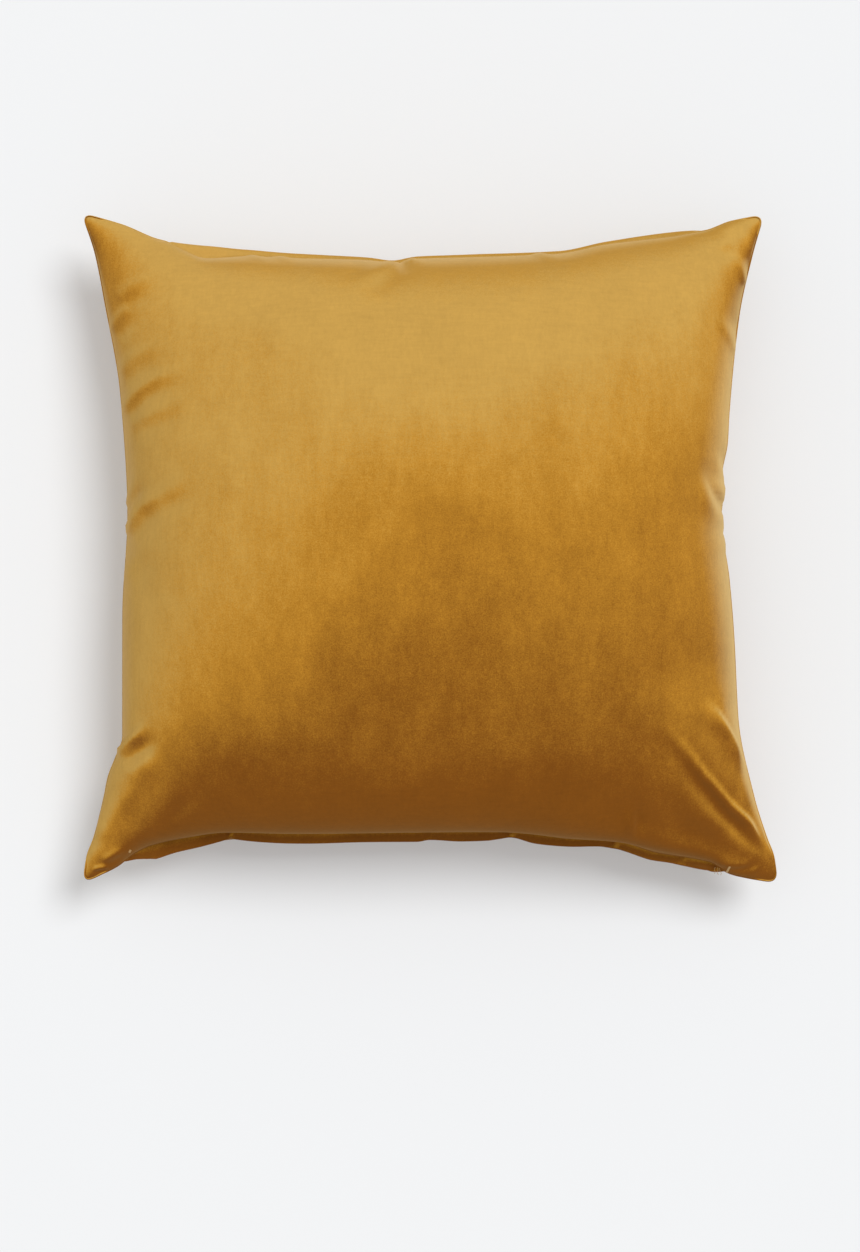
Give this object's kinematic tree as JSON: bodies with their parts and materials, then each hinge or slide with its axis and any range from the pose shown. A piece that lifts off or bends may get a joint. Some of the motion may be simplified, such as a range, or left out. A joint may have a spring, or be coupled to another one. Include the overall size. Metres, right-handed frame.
{
  "type": "filled cushion cover",
  "caption": "Square knife-edge cushion cover in smooth velvet, plumply filled, with pointed corners and a concealed folded opening along one edge, lying on its back.",
  "frame": {"origin": "on the surface the cushion lies on, under the middle of its outline", "axes": "+Z out of the face, up from the surface; +X to the right of the face; +Y to the edge opposite the opening, so the opening is along the -Y edge"},
  "size_m": [0.4976, 0.4776, 0.1554],
  "materials": {
    "velvet": "short cut pile, mustard gold, soft sheen that is pale where it turns away",
    "velvet_fold": "the same velvet folded to a narrow edge, pile lying flat, darker in the fold"
  },
  "bodies": {
    "root": {"filled_cover": "velvet", "opening_lip": "velvet_fold"}
  },
  "joints": []
}
